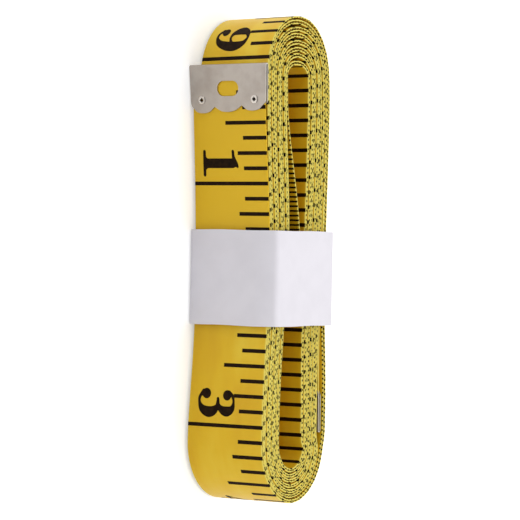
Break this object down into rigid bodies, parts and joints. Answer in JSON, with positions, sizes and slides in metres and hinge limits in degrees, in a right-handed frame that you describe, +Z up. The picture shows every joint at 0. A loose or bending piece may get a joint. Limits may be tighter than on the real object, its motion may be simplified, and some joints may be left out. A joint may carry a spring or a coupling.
{
  "type": "cloth tape measure",
  "caption": "Soft tailor's tape measure doubled and wound flat into an oblong coil, with a stamped metal clip on each end and a paper band round its middle.",
  "frame": {"origin": "on the underside of the paper band, below the middle of the coil's length and thickness", "axes": "+X along the coil from the outer clip's end to the other end, -Y out of the front face with the start of the inch scale, +Z up across the width of the tape"},
  "size_m": [0.1031, 0.0255, 0.0207],
  "materials": {
    "coated_cloth": "satin",
    "plated_steel": "satin",
    "eyelet_metal": "satin",
    "white_paper": "matte"
  },
  "bodies": {
    "coil": {"tape_coil": "coated_cloth", "inner_clip": "plated_steel", "inner_clip_eyelet_lower": "eyelet_metal", "inner_clip_eyelet_upper": "eyelet_metal"},
    "tape_end": {"tape_free_end": "coated_cloth", "outer_clip": "plated_steel", "outer_clip_eyelet_lower": "eyelet_metal", "outer_clip_eyelet_upper": "eyelet_metal"},
    "band": {"paper_band": "white_paper"}
  },
  "joints": [
    {"name": "band_slide", "type": "slide", "parent": "coil", "child": "band", "axis": [1, 0, 0], "range_m": [0, 0.06]},
    {"name": "tape_lift", "type": "hinge", "parent": "coil", "child": "tape_end", "pos_m": [-0.0073, -0.01078, 0.01005], "axis": [0, 0, 1], "range_deg": [0, 75]}
  ]
}
